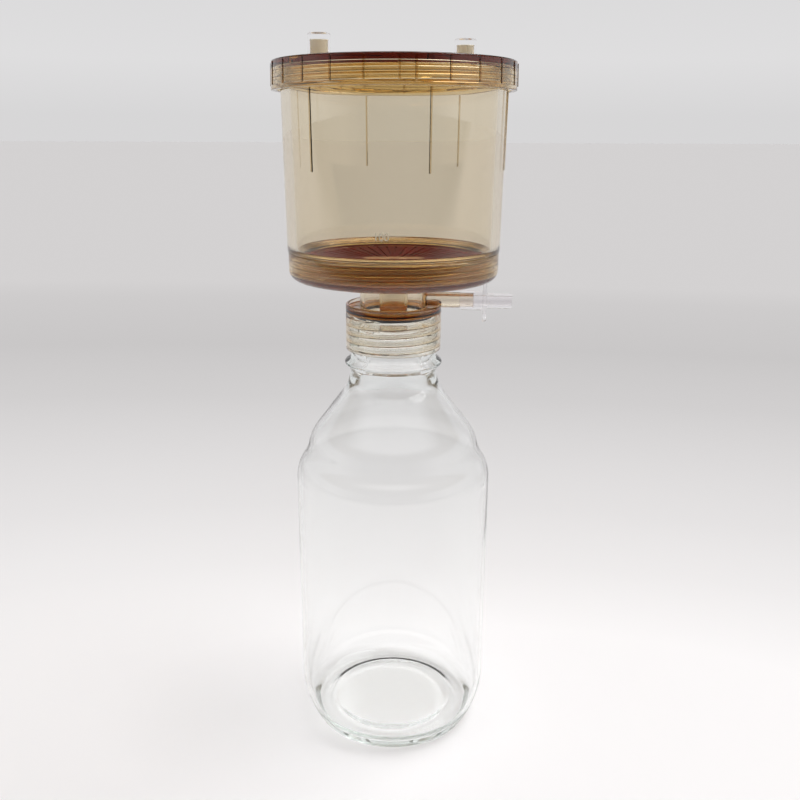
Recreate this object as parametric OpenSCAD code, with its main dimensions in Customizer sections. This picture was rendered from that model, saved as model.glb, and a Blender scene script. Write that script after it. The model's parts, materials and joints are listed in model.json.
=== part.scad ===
// Vacuum filtration unit: a screw cup on a filter base on a GL45 laboratory bottle.
// Millimetres, +Z up. The origin is the centre of the bottle's foot, on the bench,
// and the vacuum side arm points along +X.

/* [Bottle] */
// Outside diameter of the bottle's body
bottle_d = 101; // [86:0.5:112]
// Height of the lip above the bench
lip_z = 225; // [190:0.5:250]
// Wall thickness of the body
bottle_wall = 2.2; // [1.8:0.1:3]
// Radius of the outer curve at the heel
heel_curve = 48; // [42:1:54]
// Height of the heel's curve
heel_h = 26; // [22:1:30]
// Height of the raised middle of the foot
punt_h = 2.4; // [1.5:0.1:3]
// Glass thickness at the middle of the foot
floor_t = 3.6; // [3:0.1:5]
// Radius of the rounded edge between body and shoulder
edge_curve = 18; // [14:0.5:22]
// Lean of the wall at the end of that edge, from upright
edge_lean = 35; // [30:1:40]
// Radius of the shallow hollow above the edge
hollow_curve = 20; // [16:0.5:26]
// Lean of the wall at the end of the hollow
hollow_lean = 12; // [8:1:16]
// Radius of the dome above the hollow
dome_curve = 24; // [20:0.5:30]
// Lean of the straight cone from the dome to the neck
dome_lean = 37; // [32:0.5:42]
// Radius of the curve that turns the cone up into the neck
neck_curve = 21.3; // [16:0.1:26]
// Outside radius of the neck, at the middle of its thread
neck_r = 21.9; // [19:0.1:24]
// Wall thickness of the neck there
neck_wall = 6.7; // [5:0.1:7.5]
// Step from there in to the lip
lip_step = 0.9; // [0.6:0.1:1.2]
// Stand-out of the bead ring under the thread
bead_out = 2.8; // [2:0.1:3.2]
// Distance of the bead ring's middle below the lip
bead_drop = 23.4; // [22:0.1:25]

/* [Filter base] */
// Wall thickness of the screw collar, at the middle of its thread
collar_wall = 1.8; // [1.4:0.1:2.4]
// Length of the collar below its plate
collar_drop = 18.8; // [16:0.1:19.2]
// Thickness of the plate that closes the collar
plate_t = 2.1; // [1.8:0.1:3]
// Height of the collar's rim above the plate
rim_h = 2; // [1:0.1:2.4]
// Outside radius of the hollow stem
stem_r = 16.8; // [16.4:0.1:17.4]
// Wall thickness of the stem
stem_wall = 2; // [1.6:0.1:2.2]
// Gap between the dish and the hose connector's flange
disc_gap = 0.3; // [0.3:0.1:2]
// Outside radius of the drip tube
drip_r = 7.1; // [6.6:0.1:7.6]
// Wall thickness of the drip tube
drip_wall = 1.4; // [1.2:0.1:1.8]
// Length of the drip tube below the plate
drip_drop = 9.3; // [4:0.1:14]
// Step from the cup's wall in to the dish's ring
dish_step = 0.4; // [0.2:0.1:1]
// Height of the dish, from its underside to its rim
dish_h = 13.6; // [13:0.1:15]
// Thickness of the dish's bottom
dish_t = 3.2; // [2.8:0.1:3.6]
// Wall thickness of the dish's ring
ring_wall = 1.8; // [1.5:0.1:2]
// Radius of the dish's lower corner
dish_corner = 5; // [3:0.5:6]

/* [Side arm] */
// Height of the arm's axis above the collar's plate
arm_rise = 4.1; // [3.6:0.1:5]
// Outside radius of the arm
arm_r = 3.8; // [3.6:0.1:4.2]
// Distance of the arm's shoulder inside the dish's edge
arm_inset = 18.3; // [16:0.1:22]
// Outside radius of the spigot at the arm's end
spigot_r = 3.3; // [3:0.1:3.5]
// Length of the spigot
spigot_l = 6.8; // [5:0.1:8]
// Radius of the bore through the arm
arm_bore_r = 2.2; // [1.8:0.1:2.4]

/* [Seals] */
// Thickness of the ring on the bottle's lip
bottle_seal_t = 2.3; // [1.8:0.1:2.6]
// Thickness of the ring under the cup's flange
chamber_seal_t = 1; // [0.8:0.1:1.4]
// Thickness of the ring under the lid
lid_seal_t = 1.2; // [1:0.1:1.4]
// Distance of a flat ring from the edges of its seat
seal_inset = 0.8; // [0.4:0.1:1]

/* [Support plate] */
// Thickness of the plate at its edge
support_t = 4.6; // [4.2:0.1:4.8]
// Fall of its top from the edge to the middle
support_fall = 3.1; // [2:0.1:3.4]
// Radius of the drain hole in its middle
drain_r = 3.2; // [2.5:0.1:4]
// Number of long radial grooves, each followed by a short one
groove_pairs = 24; // [16:1:28]
// Width of a groove
groove_w = 1; // [0.8:0.1:1.2]
// Depth of a groove
groove_d = 0.5; // [0.3:0.1:0.6]

/* [Cup] */
// Outside radius at the bottom of the cup's wall
cup_r = 52; // [44:0.1:60]
// Height of the cup, from the dish's rim to its own
cup_h = 82.7; // [70:0.1:95]
// Growth of the radius from bottom to rim
cup_draft = 1.2; // [0.8:0.1:1.6]
// Wall thickness
cup_wall = 4.4; // [4:0.1:4.8]
// Width of the seat under the cup's inner flange
seat_w = 2.1; // [1.6:0.1:3]
// Thickness of the flange at its inner edge
flange_t = 0.9; // [0.7:0.1:1.4]
// Rise of the flange's top from that edge to the wall
flange_rise = 2.3; // [1:0.1:3]
// Depth of the flange's underside below the dish's rim
flange_drop = 1.6; // [1:0.1:2.2]
// Thickness of the threaded skirt inside the dish's ring
skirt_wall = 3.1; // [2.8:0.1:3.2]
// Height of the male thread at the cup's rim
cup_thread_h = 7.3; // [6.5:0.1:7.6]
// Stand-out of that thread's middle from the wall
cup_thread_t = 0.7; // [0.5:0.1:0.9]
// Number of thin outside ribs
rib_count = 6; // [3:1:8]
// Azimuth of the first rib
rib_angle = -67; // [-90:1:-50]
// Length of a rib
rib_l = 34.8; // [20:0.2:50]
// Width of a rib
rib_w = 0.7; // [0.6:0.1:1]
// Stand-out of a rib
rib_t = 0.7; // [0.5:0.1:0.9]

/* [Lid] */
// Wall thickness of the lid's skirt at its top
lid_wall = 2.8; // [2.4:0.1:3.4]
// Growth of the skirt's radius from top to bottom
lid_flare = 0.3; // [0.1:0.1:0.6]
// Thickness of its top
lid_t = 2.8; // [2.4:0.1:3.2]
// Depth of its skirt below the top
lid_skirt_h = 10; // [9.6:0.1:10.6]
// Height of the plain lip under the grip ribs
lid_lip_h = 2; // [1.5:0.1:2.5]
// Grip ribs on each half of the lid
grip_count = 12; // [8:1:12]
// Angle between neighbouring grip ribs
grip_pitch = 15; // [12:0.5:15]
// Azimuth of the line where the two sets of grip ribs meet
grip_split = -78.3; // [-90:0.1:-60]
// Angle between that line and the first rib of a set
grip_offset = 3.45; // [2:0.05:6]
// Width of a grip rib
grip_w = 0.8; // [0.6:0.1:1]
// Stand-out of a grip rib
grip_t = 0.4; // [0.3:0.1:0.6]

/* [Ports] */
// Distance of each port's axis inside the lid's edge
port_inset = 21.1; // [16:0.1:28]
// Azimuth of the right port
port_angle = 25.5; // [0:0.5:60]
// Outside radius of a port
port_r = 4.1; // [3.8:0.1:4.4]
// Radius of its bore
port_bore_r = 2.6; // [2.2:0.1:2.8]
// Height of a port above the lid
port_h = 8.5; // [6:0.1:10]
// Wall thickness of a port's cap
cap_wall = 1; // [0.8:0.1:1.4]
// Thickness of the cap's end
cap_end = 2.9; // [2:0.1:3.2]
// Gap between the cap's mouth and the lid
cap_gap = 1; // [0.4:0.1:2]

/* [Hose connector] */
// Wall thickness of the socket that slips over the spigot
socket_wall = 1.5; // [1.2:0.1:1.8]
// Length of the socket, up to the round flange
socket_l = 11.35; // [9:0.05:13]
// Radius of that flange
disc_r = 10.2; // [9:0.1:11]
// Thickness of that flange
disc_t = 1.75; // [1.4:0.05:2.4]
// Outside radius of the hose end
hose_r = 3.8; // [3.6:0.1:4.4]
// Length of the hose end
hose_l = 12.5; // [10:0.1:16]
// Radius of the connector's bore
hose_bore_r = 2.2; // [1.8:0.1:2.4]

/* [Clearances] */
// Radial gap between a thread and its mate
thread_gap = 0.3; // [0.25:0.05:0.4]
// Radial gap of a part that slips over a spigot
slip_gap = 0.05; // [0.03:0.01:0.08]
// Gap between parts that don't press on each other
free_gap = 0.3; // [0.25:0.05:0.4]

/* [Hidden] */
$fn = 96;

edge = 0.4;                                   // small edge break on moulded rims
lip_round = 1;                                // rounding of the bottle's lip
steps = 10;                                   // straight steps in a drawn arc

// the bottle, downwards from its lip
body_r = bottle_d / 2;
neck_bore_r = neck_r - neck_wall;
lip_out = neck_r - lip_step;                  // outside radius of the lip
bead_z = lip_z - bead_drop;
neck_z = bead_z - bead_out - edge;            // where the neck starts to stand upright

// the filter base, upwards from the bottle's lip
plate_z = lip_z + bottle_seal_t;              // underside of the collar's plate
plate_top = plate_z + plate_t;
rim_z = plate_top + rim_h;
arm_z = plate_top + arm_rise;
dish_z = arm_z + disc_r + disc_gap;           // underside of the dish
ring_z = dish_z + dish_h;                     // rim of the dish's ring
collar_bore = neck_r + thread_gap;
collar_r = collar_bore + collar_wall;
stem_in = stem_r - stem_wall;
dish_r = cup_r - dish_step;
arm_x = dish_r - arm_inset;                   // shoulder where the spigot starts
ring_bore = dish_r - ring_wall;
skirt_r = ring_bore - thread_gap;             // outside of the cup's threaded skirt
skirt_in = skirt_r - skirt_wall;
seat_out = skirt_in - 2 * free_gap;           // raised seat under the cup's flange
channel_z = dish_z + dish_t;
skirt_z = channel_z + 2 * free_gap;

// the cup, upwards from the dish's rim
wall_z = ring_z + free_gap;                   // where the cup's outer wall starts
cup_top = ring_z + cup_h;
cup_in = cup_r - cup_wall;
flange_in = seat_out - seat_w;
flange_z = ring_z - flange_drop;              // underside of the cup's flange
seat_z = flange_z - chamber_seal_t;           // top of the seat that carries the seal
support_r = flange_in - free_gap;
ledge_z = seat_z - support_t;                 // ledge that carries the support plate
ledge_w = 2;
cup_thread_r = cup_r + cup_draft + cup_thread_t;

// the lid, upwards from the cup's rim
lid_z = cup_top + lid_seal_t;                 // underside of the lid's top
lid_top = lid_z + lid_t;
skirt_end = lid_z - lid_skirt_h;
lid_bore = cup_thread_r + thread_gap;
lid_r = lid_bore + lid_wall;
port_top = lid_top + port_h;
port_orbit = lid_r - port_inset;

// radius of the cup's outer wall at a height
function wall_r(z) = cup_r + cup_draft * (z - wall_z) / (cup_top - wall_z);

// points along an arc about (r, z), from angle a0 to a1
function arc(r, z, size, a0, a1, n = steps) =
    [for (i = [0:n]) let (a = a0 + (a1 - a0) * i / n) [r + size * cos(a), z + size * sin(a)]];

// The bottle's shoulder: a rounded edge, a shallow hollow, a dome and a straight cone
// that runs out into the neck. It is drawn upwards from the end of the body's straight wall.
edge_c = [body_r - edge_curve, 0];
hollow_c = edge_c + (edge_curve + hollow_curve) * [cos(edge_lean), sin(edge_lean)];
dome_c = hollow_c - (hollow_curve + dome_curve) * [cos(hollow_lean), sin(hollow_lean)];

// Centre of the arc that turns the cone into an upright neck of radius r.
// inset is the distance of the drawn line inside the outer wall.
function neck_c(r, size, inset) =
    let (reach = dome_c + (dome_curve - inset + size) * [cos(dome_lean), sin(dome_lean)],
         run = (reach[0] - r - size) / sin(dome_lean))
    reach + run * [-sin(dome_lean), cos(dome_lean)];

// height of the shoulder's start, so that it ends where the neck stands upright
shoulder_z = neck_z - neck_c(neck_r, neck_curve, 0)[1];

// shoulder and neck root, from the body up, at a distance inside the outer wall
function shoulder(inset, r, size) =
    let (c = neck_c(r, size, inset))
    [for (p = concat(arc(edge_c[0], edge_c[1], edge_curve - inset, 0, edge_lean),
                     arc(hollow_c[0], hollow_c[1], hollow_curve + inset,
                         180 + edge_lean, 180 + hollow_lean),
                     arc(dome_c[0], dome_c[1], dome_curve - inset, hollow_lean, dome_lean),
                     arc(c[0], c[1], size, 180 + dome_lean, 180)))
        p + [0, shoulder_z]];

module bottle() {
    heel_c = [body_r - heel_curve, heel_h];
    foot_z = 0.8;
    foot_a = asin((heel_h - foot_z) / heel_curve);
    foot_out = heel_c[0] + heel_curve * cos(foot_a) - 2;
    foot_in = foot_out - 4;
    punt_r = foot_in - 5;
    floor_z = punt_h + floor_t;
    valley_z = floor_z - 1.6;
    inner_heel = heel_curve - bottle_wall;
    inner_a = asin((heel_h - valley_z) / inner_heel);
    outside = concat(
        [[0, punt_h], [punt_r, punt_h], [foot_in, 0], [foot_out, 0]],
        arc(heel_c[0], heel_c[1], heel_curve, -foot_a, 0),
        shoulder(0, neck_r, neck_curve),
        arc(neck_r, bead_z, bead_out, -90, 90, 8),
        [[neck_r, lip_z - 3]],
        arc(lip_out - lip_round, lip_z - lip_round, lip_round, 0, 90, 4));
    inner_neck = shoulder(bottle_wall, neck_bore_r, neck_curve / 2);
    inside = concat(
        [[neck_bore_r + lip_round, lip_z], [neck_bore_r, lip_z - lip_round]],
        [for (i = [len(inner_neck) - 1:-1:0]) inner_neck[i]],
        arc(heel_c[0], heel_c[1], inner_heel, 0, -inner_a),
        [[foot_in + 1, valley_z], [punt_r, floor_z], [0, floor_z]]);
    color([0.86, 0.9, 0.9, 0.5]) rotate_extrude() polygon(concat(outside, inside));
}

module ring(inner, outer, z, h) {
    translate([0, 0, z]) difference() {
        cylinder(r = outer, h = h);
        translate([0, 0, -1]) cylinder(r = inner, h = h + 2);
    }
}

module bottle_seal() {
    color([0.1, 0.11, 0.16]) ring(neck_bore_r + seal_inset, lip_out - lip_round, lip_z, bottle_seal_t);
}

module filter_base() {
    drip_in = drip_r - drip_wall;
    funnel_z = channel_z - 1;                 // top of the rounded inlet of the drip tube
    corner_c = [dish_r - dish_corner, dish_z + dish_corner];
    fillet = 1.5;
    profile = concat(
        [[drip_in, plate_z - drip_drop], [drip_r, plate_z - drip_drop], [drip_r, dish_z],
         [stem_in, dish_z], [stem_in, plate_z], [collar_bore, plate_z],
         [collar_bore, plate_z - collar_drop + edge], [collar_bore + edge, plate_z - collar_drop],
         [collar_r - edge, plate_z - collar_drop], [collar_r, plate_z - collar_drop + edge]],
        arc(collar_r - 0.7, rim_z - 0.7, 0.7, 0, 90, 4),
        [[collar_bore, rim_z], [collar_bore, plate_top], [stem_r, plate_top]],
        arc(stem_r + fillet, dish_z - fillet, fillet, 180, 90, 5),
        arc(corner_c[0], corner_c[1], dish_corner, -90, 0),
        [[dish_r, ring_z - edge], [dish_r - edge, ring_z], [ring_bore, ring_z],
         [ring_bore, channel_z], [seat_out, channel_z], [seat_out, seat_z], [flange_in, seat_z],
         [flange_in, ledge_z], [flange_in - ledge_w, ledge_z],
         [drip_in + 1, funnel_z], [drip_in, funnel_z - 0.6]]);
    color([0.78, 0.6, 0.33, 0.7]) difference() {
        union() {
            rotate_extrude() polygon(profile);
            translate([stem_in + edge, 0, arm_z]) rotate([0, 90, 0])
                cylinder(r = arm_r, h = arm_x - stem_in - edge);
            translate([arm_x - 1, 0, arm_z]) rotate([0, 90, 0])
                cylinder(r = spigot_r, h = spigot_l + 1);
        }
        translate([stem_in - 1, 0, arm_z]) rotate([0, 90, 0])
            cylinder(r = arm_bore_r, h = arm_x + spigot_l);
    }
}

module support_plate() {
    slope = atan(support_fall / support_r);
    top_z = ledge_z + support_t;
    color([0.5, 0.22, 0.1, 0.8]) difference() {
        rotate_extrude() polygon([
            [drain_r, ledge_z], [support_r, ledge_z], [support_r, top_z - edge],
            [support_r - edge, top_z], [drain_r, top_z - support_fall * (1 - drain_r / support_r)]]);
        for (i = [0:2 * groove_pairs - 1])
            rotate([0, 0, 180 * (i + 0.5) / groove_pairs])
                translate([0, 0, top_z - support_fall])
                    rotate([0, -slope, 0])
                        translate([i % 2 == 0 ? drain_r + 4 : support_r * 0.45, -groove_w / 2, -groove_d])
                            cube([support_r * (i % 2 == 0 ? 0.95 : 0.5) - (i % 2 == 0 ? drain_r + 4 : 0),
                                  groove_w, groove_d + 3]);
    }
}

module chamber_seal() {
    color([0.45, 0.08, 0.05]) ring(flange_in + free_gap, seat_out - 0.1, seat_z, chamber_seal_t);
}

module chamber() {
    thread_z = cup_top - cup_thread_h;
    profile = [
        [flange_in, flange_z], [flange_in, flange_z + flange_t],
        [cup_in, flange_z + flange_t + flange_rise],
        [cup_in + cup_draft, cup_top - edge], [cup_in + cup_draft + edge, cup_top],
        [cup_thread_r - edge, cup_top], [cup_thread_r, cup_top - edge],
        [cup_thread_r, thread_z], [wall_r(thread_z - cup_thread_t), thread_z - cup_thread_t],
        [cup_r, wall_z + edge], [cup_r - edge, wall_z], [skirt_r, wall_z],
        [skirt_r, skirt_z + edge], [skirt_r - edge, skirt_z], [skirt_in, skirt_z],
        [skirt_in, flange_z]];
    rib_top = skirt_end - free_gap;
    rib_foot = rib_top - rib_l;
    color([0.8, 0.7, 0.45, 0.6]) {
        rotate_extrude() polygon(profile);
        for (i = [0:rib_count - 1])
            rotate([0, 0, rib_angle + i * 360 / rib_count]) rotate([90, 0, 0])
                translate([0, 0, -rib_w / 2]) linear_extrude(rib_w) polygon([
                    [wall_r(rib_foot) - 1, rib_foot], [wall_r(rib_foot) + rib_t, rib_foot],
                    [wall_r(rib_top) + rib_t, rib_top], [wall_r(rib_top) - 1, rib_top]]);
    }
}

module lid_seal() {
    color([0.45, 0.08, 0.05])
        ring(cup_in + cup_draft + seal_inset, cup_thread_r - seal_inset, cup_top, lid_seal_t);
}

module at_port(side) {
    rotate([0, 0, port_angle + (side > 0 ? 0 : 180)]) translate([port_orbit, 0, 0]) children();
}

module lid() {
    skirt_r1 = lid_r + lid_flare;
    corner = 0.7;
    profile = concat(
        [[0, lid_z], [lid_bore, lid_z], [lid_bore, skirt_end + edge], [lid_bore + edge, skirt_end],
         [skirt_r1 - edge, skirt_end], [skirt_r1, skirt_end + edge]],
        arc(lid_r - corner, lid_top - corner, corner, 0, 90, 4),
        [[0, lid_top]]);
    grip_z = skirt_end + lid_lip_h;
    grip_top = lid_top - corner;
    color([0.72, 0.52, 0.27, 0.7]) difference() {
        union() {
            rotate_extrude() polygon(profile);
            for (half = [-1, 1], i = [0:grip_count - 1])
                rotate([0, 0, grip_split + half * (grip_offset + i * grip_pitch)])
                    rotate([90, 0, 0]) translate([0, 0, -grip_w / 2]) linear_extrude(grip_w)
                        polygon([[lid_r - 1, grip_z], [skirt_r1 + grip_t, grip_z],
                                 [lid_r + grip_t, grip_top], [lid_r - 1, grip_top]]);
            for (side = [-1, 1])
                at_port(side) rotate_extrude() polygon(concat(
                    [[0, lid_z + 1], [port_r, lid_z + 1]],
                    arc(port_r - edge, port_top - edge, edge, 0, 90, 3),
                    [[0, port_top]]));
        }
        for (side = [-1, 1])
            at_port(side) translate([0, 0, lid_z - 1])
                cylinder(r = port_bore_r, h = lid_t + port_h + 2);
    }
}

module port_cap(side) {
    cap_bore = port_r + slip_gap;
    cap_r = cap_bore + cap_wall;
    corner = 0.8;
    color([0.92, 0.93, 0.93, 0.5]) at_port(side) rotate_extrude() polygon(concat(
        [[0, port_top], [cap_bore, port_top], [cap_bore, lid_top + cap_gap],
         [cap_r, lid_top + cap_gap]],
        arc(cap_r - corner, port_top + cap_end - corner, corner, 0, 90, 5),
        [[0, port_top + cap_end]]));
}

module port_cap_right() {
    port_cap(1);
}

module port_cap_left() {
    port_cap(-1);
}

module hose_connector() {
    bore = spigot_r + slip_gap;
    socket_r = bore + socket_wall;
    disc_x = socket_l + disc_t;
    end_x = disc_x + hose_l;
    color([0.9, 0.9, 0.9, 0.6]) translate([arm_x, 0, arm_z]) rotate([0, 90, 0])
        rotate_extrude() polygon([
            [bore, 0], [socket_r - edge, 0], [socket_r, edge], [socket_r, socket_l],
            [disc_r - edge, socket_l], [disc_r, socket_l + edge],
            [disc_r, disc_x - edge], [disc_r - edge, disc_x],
            [hose_r, disc_x], [hose_r, end_x - edge], [hose_r - edge, end_x],
            [hose_bore_r, end_x], [hose_bore_r, spigot_l + free_gap], [bore, spigot_l + free_gap]]);
}

bottle();
bottle_seal();
filter_base();
support_plate();
chamber_seal();
chamber();
lid_seal();
lid();
port_cap_right();
port_cap_left();
hose_connector();
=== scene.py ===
"""Looks of the vacuum filtration unit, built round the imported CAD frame.

Sections and small sizes are in millimetres and become metres when a mesh is made.
Heights and outer radii come from the frame's boxes.
"""

import json
import math

import bpy
import numpy as np
from mathutils import Matrix, Vector

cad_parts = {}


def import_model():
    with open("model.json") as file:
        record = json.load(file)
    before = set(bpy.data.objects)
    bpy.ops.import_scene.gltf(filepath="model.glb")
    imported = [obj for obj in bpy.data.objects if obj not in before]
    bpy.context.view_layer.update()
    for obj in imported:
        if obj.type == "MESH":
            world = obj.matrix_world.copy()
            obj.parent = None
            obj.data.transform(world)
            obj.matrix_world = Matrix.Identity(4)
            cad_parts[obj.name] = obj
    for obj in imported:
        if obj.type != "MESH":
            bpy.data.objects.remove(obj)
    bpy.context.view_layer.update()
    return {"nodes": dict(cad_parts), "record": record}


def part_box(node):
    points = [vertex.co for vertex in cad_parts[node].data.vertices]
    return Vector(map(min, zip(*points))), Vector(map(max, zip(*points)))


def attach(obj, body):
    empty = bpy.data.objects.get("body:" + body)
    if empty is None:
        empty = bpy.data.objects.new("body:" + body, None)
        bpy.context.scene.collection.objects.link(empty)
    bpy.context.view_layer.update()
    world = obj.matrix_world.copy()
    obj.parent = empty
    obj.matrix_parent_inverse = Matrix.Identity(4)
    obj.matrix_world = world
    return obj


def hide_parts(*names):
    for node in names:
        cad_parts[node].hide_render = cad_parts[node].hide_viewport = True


MM = 0.001
TAU = 2 * math.pi

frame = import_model()


# ---------------------------------------------------------------- sizes from the frame

def box_mm(node):
    """Lowest and highest corner of a CAD node, in millimetres."""
    low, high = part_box(node)
    return np.array(low) / MM, np.array(high) / MM


def pitch_mm(joint):
    """Rise per turn of a screw joint, in millimetres."""
    for c in frame["record"]["behaviour"]["couplings"]:
        if c["joint"] == joint:
            return c["ratio"] * TAU / MM
    raise ValueError(f"no coupling drives {joint}")


bottle_box = box_mm("bottle")
bottle_seal_box = box_mm("bottle_seal")
base_box = box_mm("filter_base")
plate_box = box_mm("support_plate")
cup_seal_box = box_mm("chamber_seal")
cup_box = box_mm("chamber")
lid_seal_box = box_mm("lid_seal")
lid_box = box_mm("lid")
cap_box = box_mm("port_cap_right")
connector_box = box_mm("hose_connector")

NECK_PITCH = pitch_mm("base_lift")
CUP_PITCH = pitch_mm("cup_lift")
LID_PITCH = pitch_mm("lid_lift")

body_r = bottle_box[1][0]
lip_z = bottle_box[1][2]
plate_z = bottle_seal_box[1][2]                # underside of the collar's plate
collar_end = base_box[0][2]
ring_z = base_box[1][2]                        # rim of the dish
dish_r = base_box[1][1]
ledge_z = plate_box[0][2]
seat_z, flange_z = cup_seal_box[0][2], cup_seal_box[1][2]
skirt_z, cup_top = cup_box[0][2], cup_box[1][2]
lid_z = lid_seal_box[1][2]                     # underside of the lid's top
lid_end = lid_box[0][2]
port_top = lid_box[1][2]
arm_z = (connector_box[0][2] + connector_box[1][2]) / 2
arm_x = connector_box[0][0]
port_at = (cap_box[0][:2] + cap_box[1][:2]) / 2


# ---------------------------------------------------------------- sections

def arc(centre, size, start, end, steps=8):
    """Points on an arc about (r, z), from one angle to another in degrees."""
    a = np.radians(np.linspace(start, end, steps + 1))
    return [(centre[0] + size * math.cos(t), centre[1] + size * math.sin(t)) for t in a]


def run(start, end, step):
    """Points from start to end, both kept, no further apart than step."""
    length = math.dist(start, end)
    share = np.linspace(0, 1, max(1, math.ceil(length / step)) + 1)[:, None]
    return [tuple(p) for p in np.array(start) * (1 - share) + np.array(end) * share]


def smooth(x):
    """0 below 0, 1 above 1 and a soft step between."""
    x = np.clip(x, 0, 1)
    return x * x * (3 - 2 * x)


def ease(start, end, steps=8):
    """A soft step between two points that leaves and arrives flat."""
    return [(start[0] + (end[0] - start[0]) * s, start[1] + (end[1] - start[1]) * smooth(s))
            for s in np.linspace(0, 1, steps + 1)]


def ridge(crest, foot, bevel=0.04):
    """One turn of a thread as (offset in turns, share of its height), with bevelled corners."""
    half = [(foot, 0), (foot - bevel, 0.07), (crest + bevel, 0.93), (crest, 1)]
    return [(-0.5, 0)] + [(-t, s) for t, s in half] + [(t, s) for t, s in reversed(half)]


def groove(crest, foot, bevel=0.04):
    """The same for a hollow thread: 0 at the bottom of the groove and -1 on the ridge between."""
    return [(t, s - 1) for t, s in ridge(crest, foot, bevel)]


def screw(radius, pitch, crest_z, low, high, height, shape, fade):
    """Rows that follow a right-hand thread, from low to high. crest_z is a crest at angle 0.

    A row is (radius, height at angle 0, rise per turn, low, high, thread height, fade at the ends).
    """
    first = math.floor((low - crest_z) / pitch) - 1
    last = math.ceil((high - crest_z) / pitch) + 1
    return [(radius, crest_z + pitch * (k + t), pitch, low, high, height * share, fade)
            for k in range(first, last + 1) for t, share in shape]


def down(rows):
    return list(reversed(rows))


def ribs(angle, radius, places, width, side=0.15):
    """1 on top of ribs at those angles and 0 away from them."""
    out = np.zeros_like(angle)
    for place in places:
        away = np.abs((angle - place + math.pi) % TAU - math.pi) * radius
        out = np.maximum(out, np.clip((width / 2 + side - away) / side, 0, 1))
    return out


def columns(count, places=(), radius=1.0, width=0.0, side=0.15):
    """Angles round the axis, evenly spaced, with extra ones at the edges of ribs."""
    step = TAU / count
    marks = [p + s * w / radius for p in places for s in (-1, 1) for w in (width / 2, width / 2 + side)]
    marks = [(m + math.pi) % TAU - math.pi for m in marks]
    even = [-math.pi + i * step for i in range(count)]
    clear = [e for e in even
             if all(abs((e - m + math.pi) % TAU - math.pi) > 0.25 * step for m in marks)]
    return np.array(sorted(clear + marks))


# ---------------------------------------------------------------- meshes

def merged(points, quads):
    """Points with the doubles joined, and faces without their repeated corners."""
    _, first, index = np.unique(np.round(points, 4), axis=0, return_index=True, return_inverse=True)
    quads = index.reshape(-1)[quads]
    repeat = quads == np.roll(quads, -1, axis=1)
    folded = (quads[:, 0] == quads[:, 2]) | (quads[:, 1] == quads[:, 3])
    whole = quads[(repeat.sum(1) == 0) & ~folded]
    pinched = (repeat.sum(1) == 1) & ~folded
    triangles = quads[pinched][~repeat[pinched]].reshape(-1, 3)
    return points[first], whole, triangles


def volume(points, triangles):
    a, b, c = (points[triangles[:, i]] for i in range(3))
    return (a * np.cross(b, c)).sum() / 6


def make_mesh(name, points, quads, sharp=35):
    """A smooth-shaded object from points in millimetres, faced outwards."""
    points, quads, triangles = merged(np.asarray(points, float), np.asarray(quads))
    split = np.vstack([quads[:, [0, 1, 2]], quads[:, [0, 2, 3]], triangles])
    if volume(points, split) < 0:
        quads, triangles = quads[:, ::-1], triangles[:, ::-1]
    mesh = bpy.data.meshes.new(name)
    mesh.from_pydata((points * MM).tolist(), [], quads.tolist() + triangles.tolist())
    finish_mesh(mesh, sharp)
    obj = bpy.data.objects.new(name, mesh)
    bpy.context.scene.collection.objects.link(obj)
    return obj


def finish_mesh(mesh, sharp=35):
    mesh.shade_smooth()
    mesh.set_sharp_from_angle(angle=math.radians(sharp))


def lathe(name, section, angles, relief=None, closed=True, place=None):
    """A closed skin swept round Z. A section that isn't closed starts and ends on the axis.

    Rows made by screw() climb with the angle and are held between their ends.
    relief(r, z, angle) moves each point outwards; place is a matrix for the finished points.
    """
    plain = (0.0, -1e6, 1e6, 0.0, 1.0)
    rows = np.array([tuple(row) + (plain if len(row) == 2 else ()) for row in section])
    a = np.append(angles, angles[0] + TAU)[None, :]
    r, z, rise, low, high, height, fade = (rows[:, i:i + 1] for i in range(7))
    z = np.clip(z + rise * a / TAU, low, high)
    r = r + height * smooth((z - low) / fade) * smooth((high - z) / fade)
    if relief is not None:
        r = r + relief(r, z, a + 0 * z)
    points = np.stack([r * np.cos(a), r * np.sin(a), z], -1)
    index = np.arange(points[..., 0].size).reshape(points.shape[:2])
    if closed:
        index = np.vstack([index, index[:1]])
    quads = np.stack([index[:-1, :-1], index[:-1, 1:], index[1:, 1:], index[1:, :-1]], -1).reshape(-1, 4)
    points = points.reshape(-1, 3)
    if place is not None:
        points = points @ np.array(place.to_3x3()).T + np.array(place.translation)
    return make_mesh(name, points, quads)


def combine(target, tool, operation):
    """Joins the tool to the target, or cuts it away, and deletes the tool."""
    step = target.modifiers.new(operation, "BOOLEAN")
    step.operation = operation
    step.solver = "EXACT"
    step.object = tool
    bpy.context.view_layer.update()
    shape = bpy.data.meshes.new_from_object(target.evaluated_get(bpy.context.evaluated_depsgraph_get()))
    target.modifiers.clear()
    target.data = shape
    finish_mesh(shape)
    bpy.data.objects.remove(tool)
    return target


def along_x(x, z):
    """Matrix that lays a lathe's axis along +X, from that point."""
    return Matrix.Translation((x, 0, z)) @ Matrix.Rotation(math.pi / 2, 4, "Y")


def stand_in(obj, node_name, body, material):
    """obj shows in place of a CAD node and moves with its body."""
    obj.data.materials.clear()
    obj.data.materials.append(material)
    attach(obj, body)
    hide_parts(node_name)
    return obj


# ---------------------------------------------------------------- the pieces

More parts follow.
